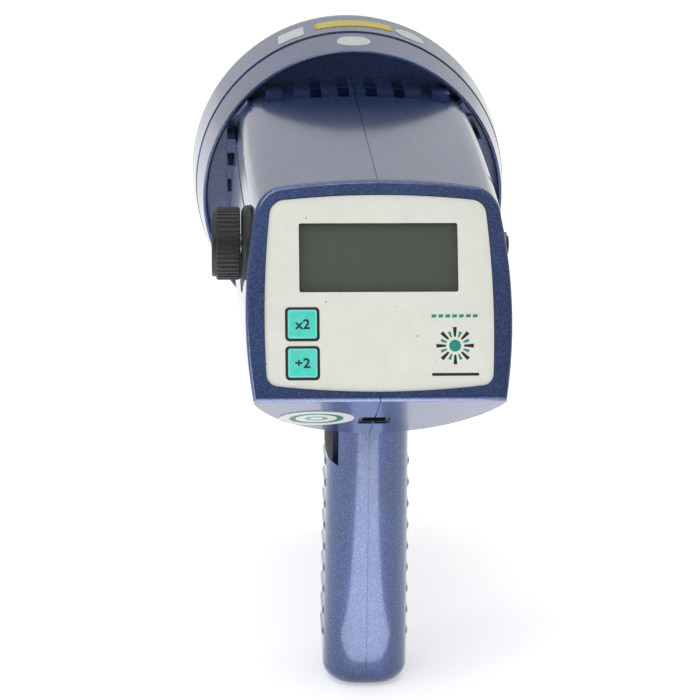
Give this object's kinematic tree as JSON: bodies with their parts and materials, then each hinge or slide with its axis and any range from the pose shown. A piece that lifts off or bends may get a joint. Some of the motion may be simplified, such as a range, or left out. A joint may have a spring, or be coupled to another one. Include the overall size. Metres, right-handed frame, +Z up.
{
  "type": "timing light",
  "caption": "Pistol-shaped stroboscopic timing light with a round lamp housing, leaning display face, speed knob, trigger and tripod socket.",
  "frame": {"origin": "mouth of the tripod socket, in the middle of the foot of the handle", "axes": "+Y the way the lamp shines, +X to the right of the person holding it, +Z up along the handle"},
  "size_m": [0.1208, 0.2285, 0.208],
  "materials": {
    "casing_blue": "satin metallic blue paint on moulded plastic",
    "black_trim": "fine-grained black moulding",
    "knob_black": "black knurled moulding",
    "lens_clear": "clear polycarbonate",
    "window_clear": "clear window, faintly tinted",
    "tube_glass": "clear flash tube glass",
    "seal_rubber": "soft moulded rubber",
    "reflector_bright": "bright spun and anodised",
    "lamp_ceramic": "unglazed white ceramic",
    "steel": "zinc plated",
    "steel_dark": "black oxide",
    "spring_steel": "drawn spring wire",
    "encoder_metal": "pressed can",
    "coil_copper": "varnished windings and tape",
    "label_cream": "printed overlay sheet with a fine grain",
    "display_green": "liquid crystal glass, unlit",
    "key_teal": "teal key with a dark outline",
    "board_green": "glass fibre board with solder mask",
    "switch_black": "moulded switch and socket bodies",
    "socket_black": "black socket moulding",
    "brass_insert": "turned brass",
    "sticker_white": "plain film stickers",
    "battery_wrap": "shrink-wrapped cells",
    "capacitor_sleeve": "sleeved aluminium can"
  },
  "bodies": {
    "casing": {"left_shell": "casing_blue", "right_shell": "casing_blue", "lamp_housing": "casing_blue", "front_ring": "black_trim", "knob_seat": "black_trim", "lens": "lens_clear", "lens_gasket": "seal_rubber", "reflector": "reflector_bright", "flash_tube": "tube_glass", "lamp_base": "lamp_ceramic", "lamp_base_screws": "steel", "ring_screws": "steel_dark", "housing_screws": "steel", "casing_screws": "steel_dark", "ignition_coil": "coil_copper", "face_label": "label_cream", "rear_panel": "black_trim", "display_window": "window_clear", "display_module": "display_green", "key_mat": "seal_rubber", "control_board": "board_green", "encoder": "encoder_metal", "trigger_pin": "steel", "trigger_spring": "spring_steel", "trigger_switch": "switch_black", "input_jack": "switch_black", "input_jack_nut": "steel_dark", "output_jack": "switch_black", "output_jack_nut": "steel_dark", "charge_socket": "socket_black", "tripod_insert": "brass_insert", "crown_labels": "sticker_white", "belly_label": "sticker_white", "battery_cells": "battery_wrap", "battery_tray": "switch_black", "jack_plate": "casing_blue", "power_board": "board_green", "flash_capacitor": "capacitor_sleeve", "power_transformer": "coil_copper"},
    "speed_knob": {"knob": "knob_black", "knob_cap": "knob_black", "encoder_shaft": "steel"},
    "times_two_key": {"key_times_two": "key_teal"},
    "divide_two_key": {"key_divide_two": "key_teal"},
    "trigger_lever": {"trigger": "black_trim"},
    "lock_slide": {"lock_button": "black_trim"}
  },
  "joints": [
    {"name": "knob_turn", "type": "hinge", "parent": "casing", "child": "speed_knob", "pos_m": [-0.0479, -0.033, 0.1651], "axis": [-1, 0, 0], "continuous": true},
    {"name": "times_two_press", "type": "slide", "parent": "casing", "child": "times_two_key", "axis": [0, 0.9018, -0.4321], "range_m": [0, 0.0004], "stiffness_N_per_m": 2500},
    {"name": "divide_two_press", "type": "slide", "parent": "casing", "child": "divide_two_key", "axis": [0, 0.9018, -0.4321], "range_m": [0, 0.0004], "stiffness_N_per_m": 2500},
    {"name": "trigger_pull", "type": "hinge", "parent": "casing", "child": "trigger_lever", "pos_m": [0, 0.0125, 0.0885], "axis": [-1, 0, 0], "range_deg": [0, 8], "stiffness_Nm_per_rad": 0.5, "deforming": ["trigger_spring"]},
    {"name": "lock_press", "type": "slide", "parent": "casing", "child": "lock_slide", "axis": [1, 0, 0], "range_m": [0, 0.0015], "stiffness_N_per_m": 1200}
  ]
}
